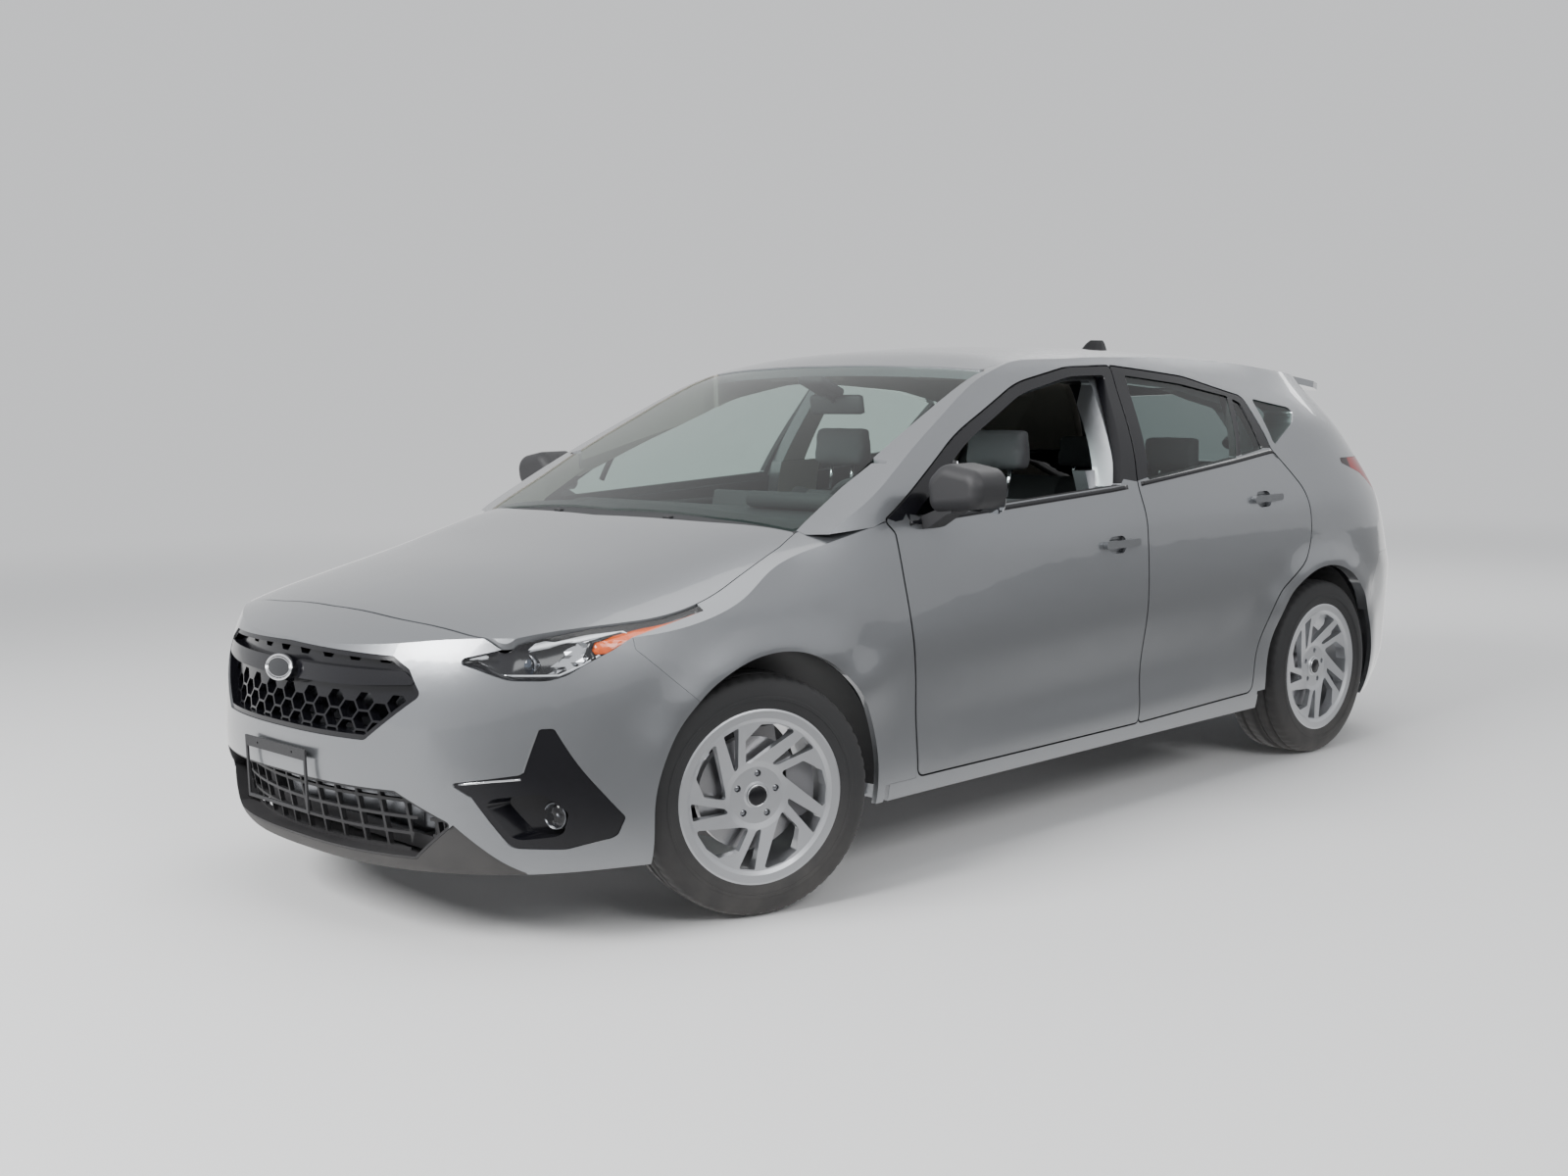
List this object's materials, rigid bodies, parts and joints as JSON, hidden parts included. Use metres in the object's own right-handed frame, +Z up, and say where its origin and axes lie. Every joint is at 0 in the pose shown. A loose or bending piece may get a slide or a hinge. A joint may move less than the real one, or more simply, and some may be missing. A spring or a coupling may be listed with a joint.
{
  "type": "compact five-door hatchback car",
  "caption": "Compact five-door hatchback with hinged doors, bonnet and tailgate, steered front wheels and four rolling road wheels.",
  "frame": {"origin": "on the floor under the middle of the car's length and width", "axes": "+Z up, -Y out of the front of the car, +X out of its left side"},
  "size_m": [2.143, 4.4891, 1.508],
  "materials": {
    "paint": "metallic",
    "glass": "clear",
    "black_plastic": "satin",
    "lamp": "clear",
    "tail_lamp": "gloss",
    "cabin_plastic": "matt",
    "seat_cloth": "woven",
    "carpet": "cut pile",
    "cast_metal": "as cast",
    "chassis_metal": "weathered",
    "tyre_rubber": "matt",
    "alloy": "lacquered",
    "brake_disc": "turned"
  },
  "bodies": {
    "body": {"arch_liners": "black_plastic", "bumper_front": "paint", "bumper_rear": "paint", "cowl": "black_plastic", "dashboard": "cabin_plastic", "engine_block": "cast_metal", "exhaust": "chassis_metal", "fender_left": "paint", "fender_right": "paint", "floor_pan": "carpet", "fog_lamp_surrounds": "black_plastic", "front_lip": "black_plastic", "front_seats": "seat_cloth", "front_subframe": "chassis_metal", "fuel_tank": "black_plastic", "grille_lower": "black_plastic", "grille_upper": "black_plastic", "headlamps": "lamp", "plate_bracket": "black_plastic", "quarter_glass": "glass", "radiator": "chassis_metal", "rear_bench": "seat_cloth", "rear_subframe": "chassis_metal", "roof_panel": "paint", "side_frame_left": "paint", "side_frame_right": "paint", "steering_wheel": "cabin_plastic", "tail_lamps": "tail_lamp", "windscreen": "glass"},
    "hood": {"hood": "paint"},
    "tailgate": {"tailgate": "paint", "tailgate_glass": "glass"},
    "door_front_left": {"door_front_left": "paint", "mirror_left": "black_plastic"},
    "door_front_right": {"door_front_right": "paint", "door_glass_front_right": "glass", "mirror_right": "black_plastic"},
    "door_rear_left": {"door_rear_left": "paint", "door_glass_rear_left": "glass"},
    "door_rear_right": {"door_rear_right": "paint", "door_glass_rear_right": "glass"},
    "knuckle_left": {"knuckle_left": "cast_metal"},
    "knuckle_right": {"knuckle_right": "cast_metal"},
    "wheel_front_left": {"tyre_front_left": "tyre_rubber", "rim_front_left": "alloy", "disc_front_left": "brake_disc"},
    "wheel_front_right": {"tyre_front_right": "tyre_rubber", "rim_front_right": "alloy", "disc_front_right": "brake_disc"},
    "wheel_rear_left": {"tyre_rear_left": "tyre_rubber", "rim_rear_left": "alloy", "disc_rear_left": "brake_disc"},
    "wheel_rear_right": {"tyre_rear_right": "tyre_rubber", "rim_rear_right": "alloy", "disc_rear_right": "brake_disc"}
  },
  "joints": [
    {"name": "hood_hinge", "type": "hinge", "parent": "body", "child": "hood", "pos_m": [0, -1.1105, 0.968], "axis": [-1, 0, 0], "range_deg": [0, 60]},
    {"name": "tailgate_hinge", "type": "hinge", "parent": "body", "child": "tailgate", "pos_m": [0, 1.5335, 1.411], "axis": [1, 0, 0], "range_deg": [0, 78]},
    {"name": "door_front_left_hinge", "type": "hinge", "parent": "body", "child": "door_front_left", "pos_m": [0.876, -0.7875, 0.7], "axis": [0, 0, -1], "range_deg": [0, 65]},
    {"name": "door_front_right_hinge", "type": "hinge", "parent": "body", "child": "door_front_right", "pos_m": [-0.876, -0.7875, 0.7], "axis": [0, 0, 1], "range_deg": [0, 65]},
    {"name": "door_rear_left_hinge", "type": "hinge", "parent": "body", "child": "door_rear_left", "pos_m": [0.876, 0.28349, 0.7], "axis": [0, 0, -1], "range_deg": [0, 65]},
    {"name": "door_rear_right_hinge", "type": "hinge", "parent": "body", "child": "door_rear_right", "pos_m": [-0.876, 0.28349, 0.7], "axis": [0, 0, 1], "range_deg": [0, 65]},
    {"name": "steer_left", "type": "hinge", "parent": "body", "child": "knuckle_left", "pos_m": [0.7, -1.3325, 0.316], "axis": [0, 0, 1], "range_deg": [-19, 51]},
    {"name": "steer_right", "type": "hinge", "parent": "body", "child": "knuckle_right", "pos_m": [-0.7, -1.3325, 0.316], "axis": [0, 0, 1], "range_deg": [-19, 51]},
    {"name": "spin_front_left", "type": "hinge", "parent": "knuckle_left", "child": "wheel_front_left", "pos_m": [0.76729, -1.3518, 0.316], "axis": [0.9613, -0.2756, 0], "continuous": true},
    {"name": "spin_front_right", "type": "hinge", "parent": "knuckle_right", "child": "wheel_front_right", "pos_m": [-0.76729, -1.3132, 0.316], "axis": [0.9613, -0.2756, 0], "continuous": true},
    {"name": "spin_rear_left", "type": "hinge", "parent": "body", "child": "wheel_rear_left", "pos_m": [0.77, 1.3375, 0.316], "axis": [1, 0, 0], "continuous": true},
    {"name": "spin_rear_right", "type": "hinge", "parent": "body", "child": "wheel_rear_right", "pos_m": [-0.77, 1.3375, 0.316], "axis": [1, 0, 0], "continuous": true}
  ],
  "couplings": [
    {"joint": "steer_right", "follows": "steer_left", "ratio": 1}
  ]
}
